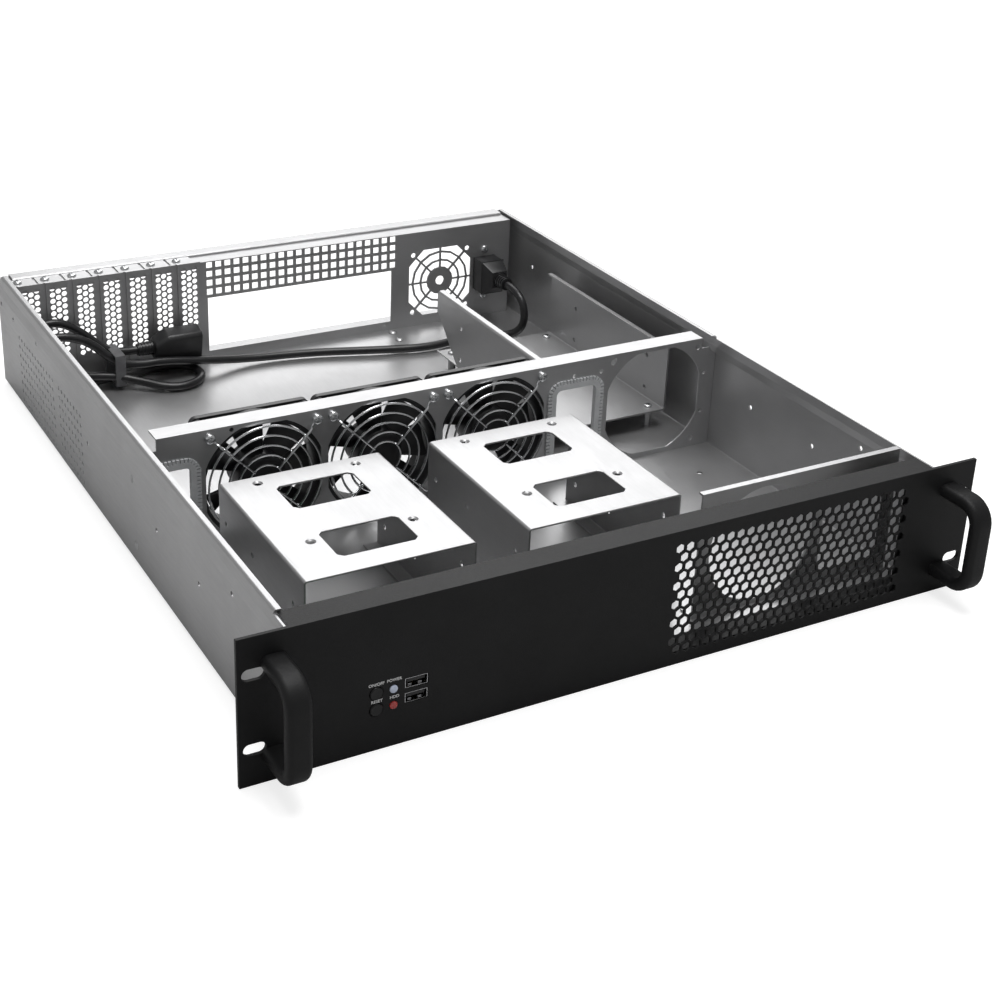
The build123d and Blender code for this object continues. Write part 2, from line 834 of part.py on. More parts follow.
with BuildPart() as slot_screws:
    with BuildSketch(level(cover_top)):
        with Locations(*[(x - tab_screw_shift, at_depth(tab_screw_depth)) for x in cover_xs]):
            RegularPolygon(screw_head_radius, screw_sides)
    extrude(amount=tab_head_height)
save(slot_screws.part, "slot_screws")

# Power inlet: a moulded socket through the rear wall, with its lead leaving forwards
inlet_outside = rear_wall_depth + sheet
inlet_plane = upright(inlet_outside)
with BuildPart() as power_inlet:
    with BuildSketch(inlet_plane):
        with Locations((inlet_x, inlet_z)):
            add(cut_cornered(inlet_flange_width, inlet_flange_height, inlet_flange_width / 4))
    extrude(amount=-inlet_flange)
    with BuildSketch(inlet_plane):
        with Locations((inlet_x, inlet_z)):
            Rectangle(inlet_width, inlet_height)
    extrude(amount=inlet_body)
    with BuildSketch(upright(inlet_outside - inlet_body)):
        with Locations((inlet_x, inlet_z)):
            Rectangle(inlet_width - fit, inlet_height - fit)
    with BuildSketch(upright(inlet_outside - inlet_body - inlet_taper)):
        with Locations((inlet_x, inlet_z + inlet_rise)):
            Rectangle(inlet_nose, inlet_nose)
    loft()
    with BuildSketch(upright(inlet_outside + inlet_flange)):
        with Locations((inlet_x, inlet_z)):
            Rectangle(inlet_width - 2 * inlet_wall, inlet_height - 2 * inlet_wall)
    extrude(amount=inlet_cavity, mode=Mode.SUBTRACT)
save(power_inlet.part, "power_inlet")

with BuildPart() as inlet_pins:
    with BuildSketch(upright(inlet_outside + inlet_flange - inlet_cavity)):
        with Locations(
            (inlet_x + pin_shift, inlet_z),
            (inlet_x - pin_shift, inlet_z - pin_pitch),
            (inlet_x - pin_shift, inlet_z + pin_pitch),
        ):
            Rectangle(pin_width, pin_thickness)
    extrude(amount=-(inlet_cavity - pin_recess))
save(inlet_pins.part, "inlet_pins")

with BuildPart() as inlet_screws:
    with BuildSketch(upright(rear_wall_depth)):
        with Locations((inlet_x, inlet_z)):
            with GridLocations(0, inlet_screw_spacing, 1, 2):
                RegularPolygon(screw_head_radius, screw_sides)
    extrude(amount=screw_head_height)
save(inlet_screws.part, "inlet_screws")

# Power supply bracket: an upright frame at the front right
supply_height = supply_top - floor_top
supply_middle = supply_x + supply_width / 2
with BuildPart() as supply_bracket:
    with BuildSketch(upright(supply_depth)):
        with Locations((supply_middle, floor_top + supply_height / 2)):
            Rectangle(supply_width, supply_height)
        with Locations((supply_x + supply_fan_x, supply_fan_z)):
            RegularPolygon(supply_fan_radius, supply_fan_sides, mode=Mode.SUBTRACT)
        with Locations((supply_x + supply_window_x, supply_fan_z)):
            add(
                cut_cornered(supply_window_width, supply_window_height, supply_corner),
                mode=Mode.SUBTRACT,
            )
    extrude(amount=-sheet)
    for height, reach in ((supply_top - sheet, supply_lip), (floor_top, supply_foot)):
        with BuildSketch(level(height)):
            with Locations((supply_middle, at_depth(supply_depth + reach / 2))):
                Rectangle(supply_width, reach)
        extrude(amount=sheet)
save(supply_bracket.part, "supply_bracket")

# Extension lead: strain relief, cord, tied hank and socket
cord_radius = cord_diameter / 2
cord_corner = cord_radius / cos(pi / cord_sides)
relief_start = inlet_outside - inlet_body - inlet_taper
relief_end = relief_start - relief_length
cord_exit_z = inlet_z + inlet_rise
relief_axis = Plane(origin=(inlet_x, at_depth(relief_start), cord_exit_z), z_dir=(0, -1, 0))
with BuildPart() as inlet_relief:
    with BuildSketch(relief_axis):
        RegularPolygon(relief_radius, cord_sides)
    with BuildSketch(relief_axis.offset(relief_length)):
        RegularPolygon(cord_corner + relief_skin, cord_sides)
    loft()
save(inlet_relief.part, "inlet_relief")

cord_low = floor_top + cord_corner + press_gap
cord_route = [
    (inlet_x, relief_end, cord_exit_z),
    (inlet_x, relief_end - exit_run, cord_exit_z),
    (186.5, 457.2, 33.0),
    (186.5, 457.2, 17.5),
    (178.5, 464.0, cord_low),
    (160.0, 474.5, cord_low),
    (135.0, 473.0, cord_low),
    (104.0, 467.5, cord_low),
    (64.0, 479.0, cord_low),
    (14.0, 496.0, cord_low),
    (-36.0, 503.0, 7.4),
    (-72.0, 499.5, 13.5),
    (-106.0, hank_entry_depth, hank_entry_z),
    (hank_right, hank_entry_depth, hank_entry_z),
]
cord_points = [Vector(x, at_depth(depth), z) for x, depth, z in cord_route]
cord_runs = [b - a for a, b in zip(cord_points, cord_points[1:])]
cord_radii = [
    arc_share * min(a.length, b.length) / tan(radians(a.get_angle(b)) / 2)
    for a, b in zip(cord_runs, cord_runs[1:])
]
with BuildPart() as extension_cord:
    with BuildLine() as cord_line:
        FilletPolyline(*cord_points, radius=cord_radii)
    with BuildSketch(Plane(origin=cord_points[0], z_dir=cord_runs[0])) as cord_section:
        RegularPolygon(cord_corner, cord_sides)
    sweep()
save(extension_cord.part, "extension_cord")
cord_length = sum(edge.length for edge in cord_line.edges())
print("cord radii", [round(radius, 1) for radius in cord_radii])
print("cord length", round(cord_length, 1), "runs", [round(run.length, 1) for run in cord_runs])
cord_share = extension_cord.part.volume / (cord_section.sketch.area * cord_length)
print("cord volume over section times length", round(cord_share, 4))

# Hank: the tied turns of the lead, as one closed shape
hank_middle = (hank_front + hank_back) / 2
with BuildPart() as cord_hank:
    with BuildSketch(upright(hank_front)):
        with BuildLine():
            Polyline(
                (hank_right, hank_low),
                (hank_right, hank_high),
                (tie_x - tie_width, hank_high),
                (hank_left + hank_bulge, hank_peak),
                (hank_left, hank_peak - hank_bulge),
                (hank_left, hank_low + hank_bulge),
                (hank_left + hank_bulge, hank_low),
                close=True,
            )
        make_face()
    extrude(amount=-(hank_back - hank_front))
    with BuildSketch(level(floor_top + press_gap)):
        with Locations(((loop_left + loop_right) / 2, at_depth(loop_depth))):
            add(cut_cornered(loop_right - loop_left, loop_width, loop_width / 4))
    extrude(amount=cord_diameter + press_gap)
save(cord_hank.part, "cord_hank")

with BuildPart() as cord_tie:
    with BuildSketch(Plane.YZ.offset(tie_x - tie_width / 2)):
        with Locations((at_depth(hank_middle), (hank_low + hank_high) / 2)):
            Rectangle(hank_back - hank_front + 2 * tie_wall, hank_high - hank_low + 2 * tie_wall)
            Rectangle(hank_back - hank_front, hank_high - hank_low, mode=Mode.SUBTRACT)
    extrude(amount=tie_width)
save(cord_tie.part, "cord_tie")

# Socket on the lead's far end, lying against the slot covers
lead_start = (hank_right, at_depth(lead_depth), lead_z)
with BuildPart() as socket_lead:
    with BuildSketch(Plane(origin=lead_start, z_dir=(1, 0, 0))):
        RegularPolygon(cord_corner, cord_sides)
    extrude(amount=lead_length)
save(socket_lead.part, "socket_lead")

relief_back = hank_right + lead_length
socket_back = relief_back + socket_relief_length
with BuildPart() as socket_relief:
    with BuildSketch(Plane(origin=(relief_back, lead_start[1], lead_z), z_dir=(1, 0, 0))):
        RegularPolygon(cord_corner + relief_skin, cord_sides)
    with BuildSketch(Plane(origin=(socket_back, lead_start[1], lead_z), z_dir=(1, 0, 0))):
        RegularPolygon(socket_relief_radius, cord_sides)
    loft()
save(socket_relief.part, "socket_relief")

across = (0, cos(radians(socket_lean)), sin(radians(socket_lean)))
socket_centre = (socket_back, at_depth(socket_depth), socket_z)
socket_plane = Plane(origin=socket_centre, x_dir=across, z_dir=(1, 0, 0))
with BuildPart() as cord_socket:
    with BuildSketch(socket_plane):
        add(cut_cornered(socket_neck, socket_neck, socket_cut))
    with BuildSketch(socket_plane.offset(socket_taper)):
        add(cut_cornered(socket_thickness, socket_width, socket_cut))
    loft()
    with BuildSketch(socket_plane.offset(socket_taper)):
        add(cut_cornered(socket_thickness, socket_width, socket_cut))
    extrude(amount=socket_length - socket_taper)
save(cord_socket.part, "cord_socket")
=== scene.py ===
from math import cos, pi, radians, sin, sqrt

import bpy
from mathutils import Matrix, Vector


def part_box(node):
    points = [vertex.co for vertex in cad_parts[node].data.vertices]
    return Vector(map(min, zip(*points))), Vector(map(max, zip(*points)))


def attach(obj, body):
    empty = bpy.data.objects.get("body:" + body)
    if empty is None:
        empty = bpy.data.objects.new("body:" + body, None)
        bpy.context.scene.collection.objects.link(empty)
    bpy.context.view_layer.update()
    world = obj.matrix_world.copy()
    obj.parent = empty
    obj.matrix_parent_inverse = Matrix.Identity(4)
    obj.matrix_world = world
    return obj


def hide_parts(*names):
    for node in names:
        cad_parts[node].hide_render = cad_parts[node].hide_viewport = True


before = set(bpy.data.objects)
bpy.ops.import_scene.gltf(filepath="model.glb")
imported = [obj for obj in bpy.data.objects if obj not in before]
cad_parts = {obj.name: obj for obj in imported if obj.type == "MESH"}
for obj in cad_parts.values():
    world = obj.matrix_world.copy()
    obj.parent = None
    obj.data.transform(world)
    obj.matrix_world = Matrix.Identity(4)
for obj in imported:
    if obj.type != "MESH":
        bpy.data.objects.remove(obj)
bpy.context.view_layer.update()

# The looks of an empty rack server case: finishes, rounded forms, fans, guards, edging and lead.
# Sizes are in millimetres from the front plate's face, as in the part's own model, and spot()
# turns them into metres in the shared frame.

MM = 0.001
face_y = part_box("front_panel")[0].y
panel_thickness = 2.5
sheet = 1.2
mid_wall_depth = 233.5
rear_wall_depth = 523.0
fan_xs = [-131.7, -49.2, 33.3]
fan_z = 45.2
half_spacing = 71.5 / 2
corners = [(a, b) for a in (-1, 1) for b in (-1, 1)]


def spot(x, depth, z):
    """A point in metres, from its X, its depth behind the front plate's face and its height."""
    return Vector((x * MM, face_y + depth * MM, z * MM))


# How a flat piece, drawn in its own X and Y with its thickness along Z, is turned to face each way
FACING = {
    "front": Matrix(((1, 0, 0, 0), (0, 0, -1, 0), (0, 1, 0, 0), (0, 0, 0, 1))),
    "back": Matrix(((1, 0, 0, 0), (0, 0, 1, 0), (0, -1, 0, 0), (0, 0, 0, 1))),
    "side": Matrix(((0, 0, 1, 0), (1, 0, 0, 0), (0, 1, 0, 0), (0, 0, 0, 1))),
    "up": Matrix.Identity(4),
}


def alone(*pieces):
    """Selects only these pieces and makes the first one active."""
    bpy.ops.object.select_all(action="DESELECT")
    for piece in pieces:
        piece.select_set(True)
    bpy.context.view_layer.objects.active = pieces[0]


def settle(piece):
    """Moves a piece's place, turn and scale into its mesh."""
    alone(piece)
    bpy.ops.object.transform_apply(location=True, rotation=True, scale=True)
    return piece


def placed(piece, centre, facing):
    """Turns a piece that was made round the origin to face one way and puts it at a point."""
    piece.matrix_world = Matrix.Translation(centre) @ FACING[facing]
    return settle(piece)


def joined(*pieces):
    """Joins pieces into the first one."""
    alone(*pieces)
    if len(pieces) > 1:
        bpy.ops.object.join()
    return bpy.context.view_layer.objects.active


def modified(piece, kind, **settings):
    """Adds one modifier with its settings and applies it."""
    alone(piece)
    modifier = piece.modifiers.new(kind.lower(), kind)
    for name, value in settings.items():
        setattr(modifier, name, value)
    bpy.ops.object.modifier_apply(modifier=modifier.name)
    return piece


def pick(piece, part, wanted):
    """Opens a piece for editing with only those faces or points selected that are wanted."""
    alone(piece)
    bpy.ops.object.mode_set(mode="EDIT")
    bpy.ops.mesh.select_mode(type="FACE" if part == "faces" else "VERT")
    bpy.ops.mesh.select_all(action="DESELECT")
    bpy.ops.object.mode_set(mode="OBJECT")
    for face in piece.data.polygons if part == "faces" else ():
        face.select = wanted(face.center, face.normal)
    for point in piece.data.vertices if part == "points" else ():
        point.select = wanted(point.co)
    bpy.ops.object.mode_set(mode="EDIT")


def outward(piece):
    """Merges a piece's doubled points and turns its faces outwards."""
    alone(piece)
    bpy.ops.object.mode_set(mode="EDIT")
    bpy.ops.mesh.select_all(action="SELECT")
    bpy.ops.mesh.remove_doubles(threshold=0.000002)
    bpy.ops.mesh.normals_make_consistent(inside=False)
    bpy.ops.object.mode_set(mode="OBJECT")
    return piece


def copied(piece, shift):
    """A copy with its own mesh, moved by a distance in metres."""
    twin = bpy.data.objects.new(piece.name + "_twin", piece.data.copy())
    bpy.context.collection.objects.link(twin)
    twin.matrix_world = Matrix.Translation(shift)
    return settle(twin)


def copy_of(*nodes):
    """A copy of CAD nodes as one piece, with its loose triangles merged into whole faces."""
    copies = []
    for name in nodes:
        copy = bpy.data.objects.new(name + "_copy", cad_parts[name].data.copy())
        bpy.context.collection.objects.link(copy)
        copies.append(copy)
    piece = joined(*copies)
    bpy.ops.mesh.customdata_custom_splitnormals_clear()
    outward(piece)
    bpy.ops.object.mode_set(mode="EDIT")
    bpy.ops.mesh.select_all(action="SELECT")
    bpy.ops.mesh.dissolve_limited(angle_limit=radians(0.5))
    bpy.ops.object.mode_set(mode="OBJECT")
    return piece


def block(centre, width, depth, height, soft=0.0):
    """A box round a point, with its edges softened."""
    size = (width * MM, depth * MM, height * MM)
    bpy.ops.mesh.primitive_cube_add(size=1, location=centre, scale=size)
    piece = settle(bpy.context.object)
    if soft:
        modified(piece, "BEVEL", width=soft * MM, segments=3, limit_method="NONE")
    return piece


def slab(centre, width, height, thickness, corner, facing):
    """A plate with rounded corners round a point, facing one way."""
    bpy.ops.mesh.primitive_plane_add(size=1)
    piece = bpy.context.object
    piece.scale = (width * MM, height * MM, 1)
    piece.location = (0, 0, -thickness * MM / 2)
    settle(piece)
    bpy.ops.object.mode_set(mode="EDIT")
    bpy.ops.mesh.select_all(action="SELECT")
    bpy.ops.mesh.bevel(offset=corner * MM, segments=8, affect="VERTICES")
    bpy.ops.mesh.select_all(action="SELECT")
    bpy.ops.mesh.extrude_region_move(TRANSFORM_OT_translate={"value": (0, 0, thickness * MM)})
    bpy.ops.object.mode_set(mode="OBJECT")
    return placed(outward(piece), centre, facing)


def turned(centre, steps, facing, sides=32):
    """A piece drawn out from a disc along its axis, to each distance and radius in turn."""
    distance, radius = steps[0]
    bpy.ops.mesh.primitive_circle_add(
        vertices=sides, radius=radius * MM, fill_type="NGON", location=(0, 0, distance * MM)
    )
    piece = settle(bpy.context.object)
    bpy.ops.object.mode_set(mode="EDIT")
    bpy.ops.mesh.select_all(action="SELECT")
    for next_distance, next_radius in steps[1:]:
        move = (0, 0, (next_distance - distance) * MM)
        bpy.ops.mesh.extrude_region_move(TRANSFORM_OT_translate={"value": move})
        share = next_radius / radius
        middle = (0, 0, next_distance * MM)
        bpy.ops.transform.resize(value=(share, share, 1), center_override=middle)
        distance, radius = next_distance, next_radius
    bpy.ops.object.mode_set(mode="OBJECT")
    return placed(outward(piece), centre, facing)


def hole(centre, radius, facing, length=6.0, sides=20):
    """A round cutter through a sheet."""
    return turned(centre, ((-length / 2, radius), (length / 2, radius)), facing, sides)


def in_rows(piece, count, step):
    """Repeats a piece along a step in millimetres."""
    offset = Vector(step) * MM
    return modified(
        piece,
        "ARRAY",
        count=count,
        use_relative_offset=False,
        use_constant_offset=True,
        constant_offset_displace=offset,
    )


def punched(piece, *cutters):
    """Cuts cutters that don't meet each other out of a piece."""
    cutter = joined(*cutters)
    modified(piece, "BOOLEAN", object=cutter, operation="DIFFERENCE", solver="EXACT")
    bpy.data.objects.remove(cutter)
    return piece


def edged(piece, width, segments=1, angle=50):
    """Takes the sharpness off a piece's edges."""
    return modified(
        piece,
        "BEVEL",
        width=width * MM,
        segments=segments,
        limit_method="ANGLE",
        angle_limit=radians(angle),
        use_clamp_overlap=False,
    )


def wire(points, radius, closed=False):
    """A round wire along a smooth line through the given points."""
    curve = bpy.data.curves.new("wire", "CURVE")
    curve.dimensions = "3D"
    curve.bevel_depth = radius * MM
    curve.bevel_resolution = 2
    curve.resolution_u = 8
    curve.use_fill_caps = True
    line = curve.splines.new("NURBS")
    line.points.add(len(points) - 1)
    for place, point in zip(line.points, points):
        place.co = (*point, 1)
    line.order_u = 3
    line.use_endpoint_u = not closed
    line.use_cyclic_u = closed
    piece = bpy.data.objects.new("wire", curve)
    bpy.context.collection.objects.link(piece)
    alone(piece)
    bpy.ops.object.convert(target="MESH")
    return bpy.context.view_layer.objects.active


def fit_out(piece, name, material, slot, *nodes, body="case", angle=30):
    """Names a finished piece, gives it its finish and smooth shading, and puts it on its body."""
    piece.name = name
    piece.data.name = name
    if material:
        piece.data.materials.clear()
        piece.data.materials.append(material)
    alone(piece)
    bpy.ops.object.shade_smooth_by_angle(angle=radians(angle))
    if nodes:
        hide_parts(*nodes)
    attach(piece, body)
    return piece


# Shader effects shared by the finishes


def new_effect(name, inputs, output):
    """An empty node group with number or vector inputs and one number output."""
    group = bpy.data.node_groups.new(name, "ShaderNodeTree")
    for label, kind, value in inputs:
        socket = group.interface.new_socket(label, in_out="INPUT", socket_type=kind)
        socket.default_value = value
    group.interface.new_socket(output, in_out="OUTPUT", socket_type="NodeSocketFloat")
    start = group.nodes.new("NodeGroupInput")
    end = group.nodes.new("NodeGroupOutput")
    return group, start, end


def noise_effect(name, output, detail, rough, low, high):
    """A group that gives soft noise in Object coordinates, stretched and set to a contrast."""
    inputs = (
        ("Stretch", "NodeSocketVector", (1.0, 1.0, 1.0)),
        ("Fineness", "NodeSocketFloat", 100.0),
    )
    group, start, end = new_effect(name, inputs, output)
    nodes, links = group.nodes, group.links
    where = nodes.new("ShaderNodeTexCoord")
    stretch = nodes.new("ShaderNodeVectorMath")
    stretch.operation = "MULTIPLY"
    noise = nodes.new("ShaderNodeTexNoise")
    noise.inputs["Detail"].default_value = detail
    noise.inputs["Roughness"].default_value = rough
    contrast = nodes.new("ShaderNodeMapRange")
    contrast.inputs["From Min"].default_value = low
    contrast.inputs["From Max"].default_value = high
    links.new(where.outputs["Object"], stretch.inputs[0])
    links.new(start.outputs["Stretch"], stretch.inputs[1])
    links.new(stretch.outputs["Vector"], noise.inputs["Vector"])
    links.new(start.outputs["Fineness"], noise.inputs["Scale"])
    links.new(noise.outputs["Fac"], contrast.inputs["Value"])
    links.new(contrast.outputs["Result"], end.inputs[output])
    return group


rolled_grain = noise_effect("rolled_grain", "Grain", 3.0, 0.6, 0.3, 0.7)
cloudiness = noise_effect("cloudiness", "Cloud", 4.0, 0.55, 0.35, 0.65)


def finish(
    name, light, dark, rough, metallic=0.0, grain=(1, 1, 1), fineness=900.0, cloud=12.0,
    bump=0.1, depth=0.05, coat=0.0, specular=0.5,
):
    """A finish: two close colours in soft clouds, and grain that varies gloss and height."""
    material = bpy.data.materials.new(name)
    material.use_nodes = True
    nodes, links = material.node_tree.nodes, material.node_tree.links
    shader = nodes["Principled BSDF"]
    shader.inputs["Metallic"].default_value = metallic
    shader.inputs["Coat Weight"].default_value = coat
    shader.inputs["Specular IOR Level"].default_value = specular
    grains = nodes.new("ShaderNodeGroup")
    grains.node_tree = rolled_grain
    grains.inputs["Stretch"].default_value = grain
    grains.inputs["Fineness"].default_value = fineness
    clouds = nodes.new("ShaderNodeGroup")
    clouds.node_tree = cloudiness
    clouds.inputs["Fineness"].default_value = cloud
    colour = nodes.new("ShaderNodeMix")
    colour.data_type = "RGBA"
    colour.inputs["A"].default_value = (*light, 1)
    colour.inputs["B"].default_value = (*dark, 1)
    gloss = nodes.new("ShaderNodeMapRange")
    gloss.inputs["To Min"].default_value = rough[0]
    gloss.inputs["To Max"].default_value = rough[1]
    height = nodes.new("ShaderNodeBump")
    height.inputs["Strength"].default_value = bump
    height.inputs["Distance"].default_value = depth * MM
    links.new(clouds.outputs["Cloud"], colour.inputs["Factor"])
    links.new(colour.outputs["Result"], shader.inputs["Base Color"])
    links.new(grains.outputs["Grain"], gloss.inputs["Value"])
    links.new(gloss.outputs["Result"], shader.inputs["Roughness"])
    links.new(grains.outputs["Grain"], height.inputs["Height"])
    links.new(height.outputs["Normal"], shader.inputs["Normal"])
    return material


zinc = finish(
    "zinc_steel", (0.50, 0.50, 0.505), (0.45, 0.45, 0.455), (0.30, 0.42), metallic=0.8,
    grain=(1, 0.08, 1), fineness=700.0, cloud=14.0, bump=0.15,
)
zinc_across = finish(
    "zinc_steel_across", (0.50, 0.50, 0.505), (0.45, 0.45, 0.455), (0.30, 0.42), metallic=0.8,
    grain=(0.08, 1, 1), fineness=700.0, cloud=14.0, bump=0.15,
)
black_coat = finish(
    "black_coat", (0.008, 0.008, 0.0085), (0.011, 0.011, 0.0115), (0.45, 0.58),
    fineness=1500.0, cloud=30.0, bump=0.35, depth=0.12, specular=0.25,
)
bright = finish(
    "bright_steel", (0.74, 0.75, 0.76), (0.62, 0.63, 0.64), (0.14, 0.24), metallic=1.0,
    fineness=500.0, cloud=60.0, bump=0.08,
)
black_plastic = finish(
    "black_plastic", (0.014, 0.014, 0.015), (0.024, 0.024, 0.025), (0.32, 0.44),
    fineness=900.0, cloud=60.0, bump=0.25,
)
edging = finish(
    "grey_edging", (0.62, 0.63, 0.64), (0.52, 0.53, 0.54), (0.4, 0.55),
    fineness=700.0, cloud=80.0, bump=0.2,
)
button_gloss = finish(
    "button_gloss", (0.006, 0.006, 0.0065), (0.009, 0.009, 0.0095), (0.10, 0.18),
    fineness=1200.0, cloud=60.0, bump=0.1, specular=0.4,
)
rubber = finish(
    "cord_rubber", (0.010, 0.010, 0.011), (0.018, 0.018, 0.019), (0.26, 0.38),
    fineness=1200.0, cloud=50.0, bump=0.2,
)
tie_tape = finish(
    "tie_tape", (0.10, 0.10, 0.105), (0.14, 0.14, 0.145), (0.5, 0.65),
    grain=(1, 1, 0.2), fineness=900.0, cloud=80.0, bump=0.3,
)
clear_lens = finish(
    "clear_lens", (0.55, 0.62, 0.80), (0.70, 0.76, 0.90), (0.08, 0.16),
    fineness=900.0, cloud=500.0, bump=0.1, coat=1.0,
)
red_lens = finish(
    "red_lens", (0.36, 0.012, 0.010), (0.52, 0.03, 0.022), (0.08, 0.16),
    fineness=900.0, cloud=500.0, bump=0.1, coat=1.0,
)
port_shell = finish(
    "port_shell", (0.74, 0.74, 0.76), (0.62, 0.62, 0.64), (0.18, 0.28), metallic=1.0,
    fineness=900.0, cloud=90.0, bump=0.08,
)
board_resin = finish(
    "board_resin", (0.015, 0.10, 0.035), (0.02, 0.14, 0.05), (0.3, 0.42),
    grain=(1, 0.2, 1), fineness=1200.0, cloud=90.0, bump=0.1,
)
brass = finish(
    "contact_brass", (0.72, 0.56, 0.28), (0.62, 0.47, 0.22), (0.2, 0.32), metallic=1.0,
    fineness=900.0, cloud=90.0, bump=0.08,
)
lettering = finish(
    "label_white", (0.85, 0.85, 0.85), (0.75, 0.75, 0.75), (0.5, 0.6),
    fineness=2000.0, cloud=600.0, bump=0.05,
)


# Camera, floor and light

scene = bpy.context.scene
camera_turn = [radians(angle) for angle in (65.808, -2.275, -29.170)]
bpy.ops.object.camera_add(location=spot(-498.3, -687.0, 547.1), rotation=camera_turn)
camera = bpy.context.object
camera.name = "camera"
camera.data.lens = 62.76
camera.data.sensor_width = 36.0
camera.data.shift_y = -0.1
scene.camera = camera
scene.view_settings.view_transform = "Standard"


def lamp(name, place, target, size, power):
    """A square soft lamp turned towards a point."""
    turn = (Vector(target) - Vector(place)).to_track_quat("-Z", "Y").to_euler()
    bpy.ops.object.light_add(type="AREA", location=place, rotation=turn)
    light = bpy.context.object
    light.name = name
    light.data.shape = "SQUARE"
    light.data.size = size
    light.data.energy = power
    return light


lamp("back_lamp", (0.9, 1.7, 1.5), (0.0, 0.0, 0.0), 1.8, 24.0)
lamp("top_lamp", (0.1, -0.1, 2.0), (0.0, 0.0, 0.0), 1.2, 28.0)
lamp("side_lamp", (-1.8, -0.6, 0.9), (0.0, 0.0, 0.05), 1.0, 1.0)

world = bpy.data.worlds.new("studio")
scene.world = world
world.use_nodes = True
world.node_tree.nodes["Background"].inputs["Color"].default_value = (1, 1, 1, 1)
world.node_tree.nodes["Background"].inputs["Strength"].default_value = 0.33


def floor_finish():
    """A white floor that keeps a soft shadow and shows white to the camera and through glass."""
    material = bpy.data.materials.new("studio_floor")
    material.use_nodes = True
    nodes, links = material.node_tree.nodes, material.node_tree.links
    shader = nodes["Principled BSDF"]
    shader.inputs["Base Color"].default_value = (0.5, 0.5, 0.5, 1)
    shader.inputs["Roughness"].default_value = 0.9
    shader.inputs["Specular IOR Level"].default_value = 0.0
    path = nodes.new("ShaderNodeLightPath")
    seen = nodes.new("ShaderNodeMath")
    seen.operation = "MAXIMUM"
    share = nodes.new("ShaderNodeMath")
    share.operation = "MULTIPLY"
    share.inputs[1].default_value = 0.75
    links.new(path.outputs["Is Camera Ray"], seen.inputs[0])
    links.new(path.outputs["Is Transmission Ray"], seen.inputs[1])
    links.new(seen.outputs[0], share.inputs[0])
    shader.inputs["Emission Color"].default_value = (1, 1, 1, 1)
    links.new(share.outputs[0], shader.inputs["Emission Strength"])
    return material


bpy.ops.mesh.primitive_plane_add(size=40.0, location=(0, 0, 0))
floor = bpy.context.object
floor.name = "floor"
floor.data.materials.append(floor_finish())


# Front plate, bulkhead and handles

handle_x = 221.5
handle_low = 16.55
handle_high = 71.55
handle_width = 14.0
handle_thick = 8.5
handle_bend = 12.0
handle_run = 34.2 - handle_thick / 2 - handle_bend


def handle(x, name, node):
    """A rounded bar drawn forwards from the ear, swept round two bends and drawn back."""
    bpy.ops.mesh.primitive_plane_add(size=1)
    piece = bpy.context.object
    piece.scale = (handle_width * MM, handle_thick * MM, 1)
    settle(piece)
    bpy.ops.object.mode_set(mode="EDIT")
    bpy.ops.mesh.select_all(action="SELECT")
    bpy.ops.mesh.bevel(offset=3.4 * MM, segments=5, affect="VERTICES")
    bpy.ops.object.mode_set(mode="OBJECT")
    placed(piece, spot(x, 0, handle_low), "front")
    bpy.ops.object.mode_set(mode="EDIT")
    bpy.ops.mesh.select_all(action="SELECT")
    drawn = {"value": (0, -handle_run * MM, 0)}
    bpy.ops.mesh.extrude_region_move(TRANSFORM_OT_translate=drawn)
    quarter = {"steps": 8, "angle": pi / 2, "axis": (1, 0, 0)}
    bpy.ops.mesh.spin(center=spot(x, -handle_run, handle_low + handle_bend), **quarter)
    rise = {"value": (0, 0, (handle_high - handle_low - 2 * handle_bend) * MM)}
    bpy.ops.mesh.extrude_region_move(TRANSFORM_OT_translate=rise)
    bpy.ops.mesh.spin(center=spot(x, -handle_run, handle_high - handle_bend), **quarter)
    back = {"value": (0, handle_run * MM, 0)}
    bpy.ops.mesh.extrude_region_move(TRANSFORM_OT_translate=back)
    bpy.ops.object.mode_set(mode="OBJECT")
    fit_out(outward(piece), name, black_coat, "black_coat", node)


handle(-handle_x, "handle_bar_left", "handle_left")
handle(handle_x, "handle_bar_right", "handle_right")


hex_first_x = 25.9
hex_first_z = 10.0
hex_pitch = 7.0
hex_radius = 3.2
hex_columns = 24
hex_row_pairs = 6


def front_plate():
    """The plate with softened edges, and its hexagon grille opened out to narrow, thin webs."""
    piece = edged(copy_of("front_panel"), 0.2)
    punched(piece, slab(spot(104.65, 2.3, 43.3), 172.0, 74.0, 2.0, 3.0, "front"))
    row_step = hex_pitch * sqrt(3) / 2
    grille = []
    for start_x, first_row in ((hex_first_x, 0), (hex_first_x - hex_pitch / 2, 1)):
        first = spot(start_x, panel_thickness / 2, hex_first_z + first_row * row_step)
        row = in_rows(hole(first, hex_radius, "front", 8.0, 6), hex_columns, (hex_pitch, 0, 0))
        grille.append(in_rows(row, hex_row_pairs, (0, 0, 2 * row_step)))
    punched(piece, *grille)
    fit_out(piece, "front_plate", black_coat, "black_coat", "front_panel")


front_plate()
bulkhead = edged(copy_of("front_bulkhead"), 0.3)
fit_out(bulkhead, "bulkhead_tray", black_coat, "black_coat", "front_bulkhead")


# Front controls

control_x = -165.0
lamp_x = -155.0
upper_z = 35.5
lower_z = 25.5
button_back = 5.5


def button(name, z, body):
    """A domed cap with a shallow dish on a square stem."""
    steps = ((0, 3.85), (5.6, 3.85), (6.0, 3.65), (6.3, 3.2), (6.2, 2.4), (6.1, 1.2))
    cap = turned(spot(control_x, button_back, z), steps, "front")
    stem = block(spot(control_x, button_back + 4.1, z), 2.6, 8.3, 2.6, 0.3)
    fit_out(joined(cap, stem), name, button_gloss, "black_plastic", body, body=body)


